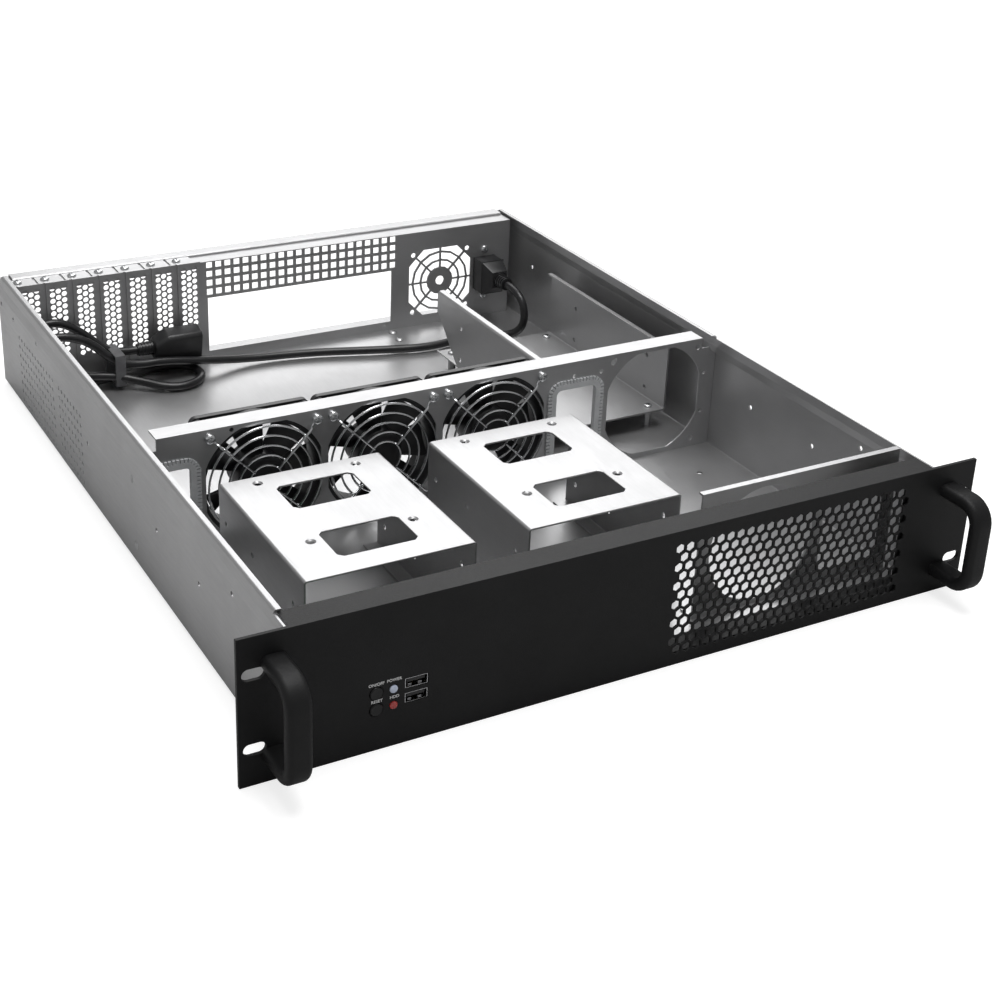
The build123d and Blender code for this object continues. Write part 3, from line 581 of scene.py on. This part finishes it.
def lamp_lens(name, z, material, slot, node):
    """A clear rod with a domed tip."""
    rod = ((0, 2.3), (13.0, 2.3), (13.2, 2.35), (16.2, 2.35))
    dome = ((16.5, 2.1), (16.7, 1.5), (16.8, 0.7))
    fit_out(turned(spot(lamp_x, 16.0, z), rod + dome, "front", 24), name, material, slot, node)


def port(name, z, node):
    """A thin plated shell, open at the front, round a dark tongue with its contacts."""
    x = -141.5
    shell = block(spot(x, 8.3, z), 13.2, 15.4, 5.9)
    pick(shell, "faces", lambda centre, normal: normal.y < -0.9)
    bpy.ops.mesh.inset(thickness=0.32 * MM)
    bpy.ops.mesh.extrude_region_move(TRANSFORM_OT_translate={"value": (0, 13.4 * MM, 0)})
    bpy.ops.object.mode_set(mode="OBJECT")
    outward(shell)
    shell.data.materials.append(port_shell)
    inside = []
    for side in (-1, 1):
        spring = block(spot(x + side * 3.0, 5.0, z - 2.25), 2.2, 5.0, 0.5, 0.12)
        spring.data.materials.append(port_shell)
        inside.append(spring)
    tongue = block(spot(x, 7.6, z + 0.9), 10.6, 12.6, 1.9, 0.25)
    back = block(spot(x, 13.6, z), 12.2, 0.8, 4.9, 0.1)
    for dark in (tongue, back):
        dark.data.materials.append(black_plastic)
        inside.append(dark)
    contact = block(spot(x - 3.75, 6.4, z - 0.12), 1.1, 9.0, 0.16, 0.04)
    contacts = in_rows(contact, 4, (2.5, 0, 0))
    contacts.data.materials.append(brass)
    fit_out(joined(shell, *inside, contacts), name, None, "port_shell", node)


button("power_cap", upper_z, "power_button")
button("reset_cap", lower_z, "reset_button")
lamp_lens("power_lens", upper_z, clear_lens, "clear_lens", "power_lamp")
lamp_lens("drive_lens", lower_z, red_lens, "red_lens", "drive_lamp")
port("port_shell_upper", 36.5, "port_upper")
port("port_shell_lower", 27.5, "port_lower")


def label(words, x, z):
    """A word printed on the plate, as a thin raised mesh."""
    place = spot(x, -0.01, z)
    bpy.ops.object.text_add(location=place, rotation=(pi / 2, 0, 0))
    text = bpy.context.object
    text.data.body = words
    text.data.align_x = "CENTER"
    text.data.align_y = "CENTER"
    text.data.size = 2.5 * MM
    text.data.extrude = 0.02 * MM
    text.data.offset = 0.05 * MM
    text.data.resolution_u = 4
    alone(text)
    bpy.ops.object.convert(target="MESH")
    return settle(bpy.context.object)


words = [
    label("ON/OFF", -165.0, 40.9), label("POWER", -154.7, 41.1),
    label("RESET", -164.7, 30.5), label("HDD", -154.5, 30.6),
]
fit_out(joined(*words), "control_labels", lettering, "black_coat")


# Chassis pan: the folded sheet with its vents, screw holes and dimples

side_x = 214.4


def pan():
    """The pan with two groups of vent holes in the left wall and the small holes of both walls."""
    piece = copy_of("chassis_pan")
    vents = []
    for depth, columns in ((348.0, 8), (412.0, 13)):
        vent = hole(spot(-side_x, depth, 8.0), 1.6, "side", 4.0, 10)
        vents.append(in_rows(in_rows(vent, columns, (0, 7.0, 0)), 8, (0, 0, 7.0)))
    left = (
        (542.7, 66.8), (510, 66.0), (449, 70.0), (197.7, 45.7), (126, 46.8), (74.2, 68.0),
        (334, 43),
    )
    right = ((493.2, 51.9), (188.3, 49.5), (120, 49.5), (73.2, 68.4))
    small = [hole(spot(-side_x, depth, z), 1.7, "side", 4.0, 16) for depth, z in left]
    small += [hole(spot(side_x, depth, z), 1.7, "side", 4.0, 16) for depth, z in right]
    small.append(hole(spot(179.3, 193.8, 2.4), 2.0, "up", 4.0, 16))
    dimples = []
    for x, facing in ((-side_x - 0.6, "side"), (side_x + 0.6, "side")):
        for depth, z in ((241, 60.0), (239, 15.0)):
            inward = 1 if x < 0 else -1
            steps = ((-1.0 * inward, 2.9), (0.0, 2.9), (1.0 * inward, 1.5), (2.5 * inward, 1.5))
            dimples.append(turned(spot(x, depth, z), steps, facing, 16))
    punched(piece, *vents, *small, *dimples)
    studs = []
    for x, depth in ((96.3, 516.0), (94.4, 500.0), (-110.0, 484.0)):
        steps = ((0, 3.6), (0.6, 3.5), (1.5, 2.6), (1.9, 1.4))
        studs.append(turned(spot(x, depth, 3.0), steps, "up", 20))
    fit_out(joined(piece, *studs), "pan_sheet", zinc, "zinc_steel", "chassis_pan")


pan()


# Mid wall with its round fan openings and rounded cable openings

cable_openings = ((-192.0, 30.0, 67.5, "left"), (97.0, 38.0, 71.0, "right"))
cable_bottom = 14.0
cable_corner = 7.0


def mid_wall():
    """The wall with each polygon opening cut out to its true round or rounded shape."""
    piece = copy_of("mid_wall")
    first = spot(fan_xs[0], mid_wall_depth, fan_z)
    opening = hole(first, 41.5, "front", 6.0, 96)
    square = slab(first, 77.42, 77.42, 5.0, 0.5, "front")
    modified(opening, "BOOLEAN", object=square, operation="INTERSECT", solver="EXACT")
    bpy.data.objects.remove(square)
    cutters = [opening]
    for x in (*fan_xs[1:], 162.3):
        cutters.append(copied(opening, ((x - fan_xs[0]) * MM, 0, 0)))
    for x, width, top, _ in cable_openings:
        middle = spot(x, mid_wall_depth, (cable_bottom + top) / 2)
        cutters.append(slab(middle, width, top - cable_bottom, 6.0, cable_corner, "front"))
    small = (
        (95.2, 76.4), (-153.0, 84.0), (117.0, 76.0), (128.0, 82.5), (204.5, 60.0), (204.5, 30.0),
    )
    cutters += [hole(spot(x, mid_wall_depth, z), 1.5, "front", 6.0, 16) for x, z in small]
    punched(piece, *cutters)
    fit_out(piece, "mid_wall_sheet", zinc_across, "zinc_steel", "mid_wall")


mid_wall()


# Cable edging: a slit lip on each side of the sheet

edging_lip = 3.2
edging_depth = 4.0
slit_pitch = 2.6


def round_the_loop(width, height, corner, pitch):
    """Evenly spaced places on a rounded rectangle, each with the way it faces."""
    flat_x = width / 2 - corner
    flat_z = height / 2 - corner
    runs = []
    for turn, long in enumerate((2 * flat_z, 2 * flat_x, 2 * flat_z, 2 * flat_x)):
        runs += [("flat", turn, long), ("bend", turn, corner * pi / 2)]
    total = sum(run[2] for run in runs)
    count = round(total / pitch)
    places = []
    for number in range(count):
        left = number * total / count
        for kind, turn, long in runs:
            if left <= long:
                break
            left -= long
        half = (flat_x, flat_z) if turn % 2 == 0 else (flat_z, flat_x)
        angle = turn * pi / 2
        if kind == "flat":
            out, along = half[0] + corner, left - half[1]
            facing = angle
        else:
            swing = left / corner
            out, along = half[0] + corner * cos(swing), half[1] + corner * sin(swing)
            facing = angle + swing
        x = out * cos(angle) - along * sin(angle)
        z = out * sin(angle) + along * cos(angle)
        places.append((x, z, facing))
    return places


def edging_strip(x, width, top, side):
    """A channel round the opening, its outer lips slit all the way round."""
    height = top - cable_bottom
    middle = spot(x, mid_wall_depth + sheet / 2, cable_bottom + height / 2)
    lip = 2 * edging_lip
    outer = cable_corner + edging_lip
    inner = cable_corner - edging_lip
    strip = slab(middle, width + lip, height + lip, edging_depth, outer, "front")
    punched(strip, slab(middle, width - lip, height - lip, 8.0, inner, "front"))
    channel = slab(middle, width + 2 * lip, height + 2 * lip, sheet + 0.02, cable_corner, "front")
    punched(channel, slab(middle, width - 0.1, height - 0.1, 6.0, cable_corner, "front"))
    punched(strip, channel)
    slits = []
    loop = round_the_loop(width + 1.4 * edging_lip, height + 1.4 * edging_lip, 9.0, slit_pitch)
    slit = block(Vector((0, 0, 0)), 3.6, 9.0, 0.7)
    for out_x, out_z, facing in loop:
        cut = copied(slit, (0, 0, 0))
        cut.matrix_world = Matrix.Translation(middle + Vector((out_x * MM, 0, out_z * MM)))
        cut.matrix_world = cut.matrix_world @ Matrix.Rotation(-facing, 4, "Y")
        slits.append(settle(cut))
    bpy.data.objects.remove(slit)
    punched(strip, *slits)
    name = "edging_" + side
    fit_out(strip, name, edging, "grey_edging", "cable_trim_" + side)


for opening in cable_openings:
    edging_strip(*opening)


# Screw heads: one pan head with a cross recess, copied to every place


def pan_head():
    """A pan head lying on the origin and facing up, with a cross recess."""
    steps = ((0, 3.4), (0.5, 3.4), (1.1, 3.1), (1.6, 2.4), (1.9, 1.3))
    head = turned(Vector((0, 0, 0)), steps, "up", 24)
    punched(head, block(Vector((0, 0, 2.1 * MM)), 3.8, 0.8, 2.2))
    punched(head, block(Vector((0, 0, 2.1 * MM)), 0.8, 3.8, 2.2))
    return head


head = pan_head()


def screws(name, node, facing, places):
    """One group of screw heads that face the same way."""
    heads = [placed(copied(head, (0, 0, 0)), place, facing) for place in places]
    fit_out(joined(*heads), name, bright, "bright_steel", node)


screws(
    "fan_screw_heads", "fan_screws", "front",
    [
        spot(x + a * half_spacing, mid_wall_depth - 1.5, fan_z + b * half_spacing)
        for x in fan_xs for a, b in corners
    ],
)
screws(
    "handle_screw_heads", "handle_screws", "back",
    [spot(a * handle_x, panel_thickness, z) for a in (-1, 1) for z in (handle_low, handle_high)],
)
tray_x = 147.6
tray_middle = 353.0
tray_floor = 16.0
pillars = [(tray_x + a * 43.1, tray_middle + b * 74.0) for a, b in corners]
screws(
    "tray_screw_heads", "tray_screws", "up",
    [spot(x, depth, tray_floor + sheet) for x, depth in pillars],
)
cover_first_x = -75.8
cover_pitch = 20.32
cover_count = 7
screws(
    "slot_screw_heads", "slot_screws", "up",
    [spot(cover_first_x - 7.4 - cover_pitch * n, 530.0, 86.0) for n in range(cover_count)],
)
inlet_x = 184.2
inlet_z = 42.0
screws(
    "inlet_screw_heads", "inlet_screws", "front",
    [spot(inlet_x, rear_wall_depth, inlet_z + a * 20.0) for a in (-1, 1)],
)
bpy.data.objects.remove(head)


# Fans: moulded frame, bladed rotor and wire guard

fan_face = mid_wall_depth + sheet
fan_size = 80.0
fan_thickness = 25.0
fan_bore = 38.2
fan_hub = 16.0
motor_front = 21.5
blade_count = 7
guard_wire = 0.75


def fan_frame():
    """A square frame with a flared round bore, cut-away corners, four struts and a motor cup."""
    x = fan_xs[0]
    middle_depth = fan_face + fan_thickness / 2
    middle = spot(x, middle_depth, fan_z)
    face = spot(x, fan_face, fan_z)
    screw_places = [
        spot(x + a * half_spacing, middle_depth, fan_z + b * half_spacing) for a, b in corners
    ]
    piece = slab(middle, fan_size, fan_size, fan_thickness, 4.5, "front")
    flare = ((-1, 39.4), (0, 39.2), (2.5, fan_bore), (22.5, fan_bore), (26, 39.2))
    punched(piece, turned(face, flare, "back", 72))
    waste = slab(middle, fan_size + 4, fan_size + 4, 17.0, 1.0, "front")
    punched(waste, hole(middle, 39.9, "front", 20.0, 72))
    punched(waste, *[hole(place, 3.6, "front", 20.0) for place in screw_places])
    punched(piece, waste)
    punched(piece, *[hole(place, 2.2, "front", 30.0) for place in screw_places])
    motor = (
        (motor_front, 15.6), (motor_front + 0.3, fan_hub), (24.6, fan_hub), (fan_thickness, 15.4),
    )
    cup = turned(face, motor, "back", 48)
    struts = []
    for turn in (1, 3, 5, 7):
        strut = block(Vector((0, 0, 0)), 23.4, 3.5, 3.6, 0.5)
        out = Vector((27.1 * MM, 0, 0))
        swing = Matrix.Rotation(turn * pi / 4, 4, "Y")
        strut.matrix_world = Matrix.Translation(spot(x, fan_face + 23.25, fan_z)) @ swing
        strut.matrix_world = strut.matrix_world @ Matrix.Translation(out)
        struts.append(settle(strut))
    return joined(piece, cup, *struts)


def fan_blade():
    """A blade along X: a fine sheet lifted across its chord, widened and twisted to its tip."""
    rows = 9
    columns = 6
    root = 13.0
    tip = 36.2
    chord = 23.0
    bpy.ops.mesh.primitive_grid_add(x_subdivisions=rows, y_subdivisions=columns, size=1)
    blade = bpy.context.object
    blade.scale = ((tip - root) * MM, chord * MM, 1)
    blade.location = ((root + tip) / 2 * MM, 0, 0)
    settle(blade)
    for column in range(columns + 1):
        y = (column / columns - 0.5) * chord
        lift = 2.2 * (1 - (2 * column / columns - 1) ** 2)
        pick(blade, "points", lambda point: abs(point.y / MM - y) < 0.1)
        bpy.ops.transform.translate(value=(0, 0, lift * MM))
        bpy.ops.object.mode_set(mode="OBJECT")
    for row in range(rows + 1):
        share = row / rows
        x = root + (tip - root) * share
        pick(blade, "points", lambda point: abs(point.x / MM - x) < 0.1)
        middle = (x * MM, 0, 0)
        width = 0.62 + 0.38 * share
        bpy.ops.transform.resize(value=(1, width, 1), center_override=middle)
        pitch = radians(46 - 16 * share)
        bpy.ops.transform.rotate(value=pitch, orient_axis="X", center_override=middle)
        bpy.ops.object.mode_set(mode="OBJECT")
    return modified(blade, "SOLIDIFY", thickness=1.2 * MM, offset=0)


def fan_rotor():
    """A domed hub and shaft with seven blades, its axis turned to lie along the fan's."""
    dome = ((1.5, 11.5), (1.7, 13.4), (2.4, 15.0), (3.4, 15.8), (5.0, fan_hub), (21.2, fan_hub))
    hub = turned(Vector((0, 0, 0)), dome, "up", 48)
    shaft = turned(Vector((0, 0, 0)), ((20.0, 1.45), (24.4, 1.45), (24.7, 1.2)), "up", 16)
    blade = fan_blade()
    blades = []
    for number in range(blade_count):
        one = copied(blade, (0, 0, 0))
        one.matrix_world = Matrix.Rotation(2 * pi * number / blade_count, 4, "Z")
        one.matrix_world = Matrix.Translation((0, 0, 11.5 * MM)) @ one.matrix_world
        blades.append(settle(one))
    bpy.data.objects.remove(blade)
    rotor = joined(hub, shaft, *blades)
    return placed(outward(rotor), spot(fan_xs[0], fan_face, fan_z), "back")


def fan_guard():
    """Five wire rings under two crossed pairs of arms, each arm ending in a loop round a screw."""
    middle = spot(fan_xs[0], mid_wall_depth, fan_z)
    parts = []

    def ring(radius, segments, place):
        bpy.ops.mesh.primitive_torus_add(
            major_radius=radius * MM,
            minor_radius=guard_wire * MM,
            major_segments=segments,
            minor_segments=8,
        )
        parts.append(placed(bpy.context.object, place, "front"))

    for radius in (38.0, 31.4, 24.8, 18.1, 11.4):
        ring(radius, 64, middle - Vector((0, 2.6 * MM, 0)))
    arm = (
        (11.0, 3.9), (20.0, 3.95), (38.0, 3.9), (42.0, 3.9), (43.6, 3.4), (45.0, 0.9),
        (47.9, guard_wire),
    )
    loop_out = half_spacing * sqrt(2)
    for turn in (1, 3, 5, 7):
        way = Vector((cos(turn * pi / 4), 0, sin(turn * pi / 4)))
        points = [middle + way * out * MM - Vector((0, height * MM, 0)) for out, height in arm]
        parts.append(wire(points, guard_wire))
        ring(2.7, 24, middle + way * loop_out * MM - Vector((0, guard_wire * MM, 0)))
    return joined(*parts)


for make, name, node, material, slot_name in (
    (fan_frame, "fan_housing_", "fan_frame_", black_plastic, "black_plastic"),
    (fan_rotor, "fan_blades_", "fan_rotor_", black_plastic, "black_plastic"),
    (fan_guard, "wire_guard_", "fan_guard_", bright, "bright_steel"),
):
    first = make()
    twins = [copied(first, ((x - fan_xs[0]) * MM, 0, 0)) for x in fan_xs[1:]]
    for number, piece in enumerate((first, *twins), start=1):
        body = f"rotor_{number}" if make is fan_rotor else "case"
        fit_out(piece, name + str(number), material, slot_name, node + str(number), body=body)


# Drive cages, tray and the supply bracket

cage_middle = 134.0
cage_width = 106.7
cage_top = 67.7


def dimple(x, depth, top):
    """A cutter for a sunk screw hole in a level sheet."""
    return turned(spot(x, depth, top), ((0.5, 3.2), (0.0, 3.2), (-1.0, 2.0), (-3.0, 2.0)), "up", 24)


def cage(name, centre_x, node):
    """A bridge of sheet with two rounded windows, four sunk holes and slots in its sides."""
    piece = edged(copy_of(node), 0.25)
    cutters = []
    for depth in (cage_middle - 31.2, cage_middle + 31.2):
        place = spot(centre_x + 0.65, depth, 67.0)
        cutters.append(slab(place, 50.0, 31.0, 6.0, 4.5, "up"))
    left = centre_x - cage_width / 2
    cutters += [
        dimple(left + out, depth, cage_top) for out in (21.5, 86.0) for depth in (110.0, 189.4)
    ]
    for depth in (85.3, 145.3, 186.9):
        for z in (46.0, 20.0):
            cutters.append(hole(spot(centre_x, depth, z), 1.8, "side", 112.0, 16))
    punched(piece, *cutters)
    fit_out(piece, name, zinc, "zinc_steel", node)


cage("cage_bridge_left", -122.05, "drive_cage_left")
cage("cage_bridge_right", 18.9, "drive_cage_right")

tray = copy_of("drive_tray")
tray_holes = [
    hole(spot(tray_x, depth, z), 1.8, "side", 110.0, 16)
    for depth in (296.5, 397.5) for z in (50.5, 24.5)
]
punched(tray, *tray_holes)
fit_out(tray, "tray_channel", zinc, "zinc_steel", "drive_tray")
posts = []
for x, depth in pillars:
    steps = ((0, 3.2), (0.4, 3.2), (0.5, 2.9), (12.4, 2.9), (12.5, 3.2), (13.0, 3.2))
    posts.append(turned(spot(x, depth, 3.0), steps, "up", 6))
fit_out(joined(*posts), "tray_posts", zinc, "zinc_steel", "tray_pillars")

bracket = copy_of("supply_bracket")
punched(
    bracket,
    hole(spot(107.0, 33.6, 44.5), 38.5, "front", 6.0, 96),
    slab(spot(176.0, 33.6, 44.5), 46.0, 62.0, 6.0, 5.5, "front"),
)
fit_out(bracket, "bracket_sheet", zinc, "zinc_steel", "supply_bracket")


# Slot covers with three staggered columns of round holes


def slot_cover():
    """The first cover: outer columns of twelve holes and a middle column of eleven between them."""
    piece = copy_of("slot_cover_1")
    cutters = []
    step = 4.93
    top = 80.7
    for shift, rows, first in ((-4.4, 12, top), (0.0, 11, top - step / 2), (4.4, 12, top)):
        place = spot(cover_first_x + shift, rear_wall_depth - 0.5, first)
        cutters.append(in_rows(hole(place, 2.1, "front", 4.0, 12), rows, (0, 0, -step)))
    return punched(piece, *cutters)


covers = [slot_cover()]
covers += [copied(covers[0], (-cover_pitch * n * MM, 0, 0)) for n in range(1, cover_count)]
for number, piece in enumerate(covers, start=1):
    fit_out(piece, f"slot_strip_{number}", zinc_across, "zinc_steel", f"slot_cover_{number}")


# Mains inlet and the pieces on the lead

inlet = edged(copy_of("power_inlet"), 0.6, 2)
fit_out(inlet, "inlet_body", black_plastic, "black_plastic", "power_inlet")


def ribbed(name, start, length, first, last, facing, node):
    """A tapered strain relief with raised rings."""
    ribs = 5
    rib_length = length / ribs
    steps = []
    for rib in range(ribs):
        out = rib_length * rib
        radius = first + (last - first) * rib / ribs
        raised = rib_length * 0.62
        steps += [(out, radius), (out + raised, radius), (out + raised + 0.01, radius - 0.7)]
        steps += [(out + rib_length - 0.02, radius - 0.75)]
    steps.append((length, last - 0.3))
    return fit_out(turned(start, steps, facing), name, rubber, "cord_rubber", node)


ribbed("inlet_strain_relief", spot(inlet_x, 495.2, 44.0), 13.0, 6.0, 4.9, "front", "inlet_relief")
relief = ribbed(
    "socket_strain_relief", spot(-111.0, 512.0, 26.0), -12.0, 5.5, 4.8, "side", "socket_relief"
)
tie = edged(copy_of("cord_tie"), 0.5, 2)
fit_out(tie, "tie_band", tie_tape, "cord_rubber", "cord_tie")
socket = edged(copy_of("cord_socket"), 1.2, 3, 20)
fit_out(socket, "socket_shell", black_plastic, "black_plastic", "cord_socket")


# CAD nodes that keep their shape and take a finish

kept = {
    zinc_across: ("rear_wall", "rear_rail"),
    black_plastic: ("switch_bodies", "board_spacers"),
    board_resin: ("control_board",),
    brass: ("inlet_pins",),
}
for material, names in kept.items():
    for name in names:
        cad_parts[name].material_slots[0].material = material


# The extension lead: one line from its relief, along the floor, through the tied hank to the socket

cord_diameter = 6.5
route = [
    (184.2, 482.2, 44.0), (184.2, 467.5, 44.0), (185.5, 455.5, 35.0), (186.0, 455.0, 17.5),
    (179.0, 463.0, 7.05), (160.0, 473.5, 7.05), (135.0, 473.0, 7.05), (104.0, 467.5, 7.05),
    (64.0, 479.0, 7.05), (14.0, 496.0, 7.05), (-36.0, 503.0, 7.4), (-72.0, 499.5, 13.5),
    (-106.0, 498.5, 19.5), (-128.0, 498.5, 19.5),
]
first_turn = [
    (-145.0, 500.0, 24.5), (-161.0, 502.0, 42.0), (-178.2, 503.0, 49.4), (-195.8, 504.0, 49.4),
    (-208.3, 505.0, 36.9), (-208.3, 506.0, 19.3), (-195.8, 507.0, 6.8), (-176.0, 507.0, 6.8),
    (-142.0, 507.0, 9.0), (-126.0, 510.5, 7.6),
]
floor_loop = [
    (-109.3, 517.6, 6.8), (-91.7, 517.6, 6.8), (-79.2, 505.1, 6.8), (-79.2, 487.5, 6.8),
    (-91.7, 475.0, 6.8), (-110.0, 475.0, 6.8), (-128.0, 489.0, 10.0), (-144.0, 497.0, 13.6),
]
second_turn = [
    (-161.0, 502.0, 14.6), (-178.0, 511.0, 14.2), (-195.8, 514.5, 14.2), (-208.3, 514.5, 26.7),
    (-208.3, 514.5, 44.3), (-195.8, 514.5, 56.8), (-178.2, 514.0, 56.8), (-160.5, 513.0, 43.0),
    (-146.5, 512.5, 28.2), (-132.0, 512.0, 26.0), (-123.0, 512.0, 26.0),
]
cord_curve = bpy.data.curves.new("lead", "CURVE")
cord_curve.dimensions = "3D"
cord_curve.bevel_depth = cord_diameter * MM / 2
cord_curve.bevel_resolution = 4
cord_curve.resolution_u = 10
cord_curve.use_fill_caps = True
cord_line = cord_curve.splines.new("NURBS")
cord_points = [spot(*point) for point in route + first_turn + floor_loop + second_turn]
cord_line.points.add(len(cord_points) - 1)
for place, point in zip(cord_line.points, cord_points):
    place.co = (*point, 1)
cord_line.order_u = 3
cord_line.use_endpoint_u = True
lead = bpy.data.objects.new("lead", cord_curve)
bpy.context.collection.objects.link(lead)
cord_curve.materials.append(rubber)
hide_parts("extension_cord", "cord_hank", "socket_lead")
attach(lead, "case")
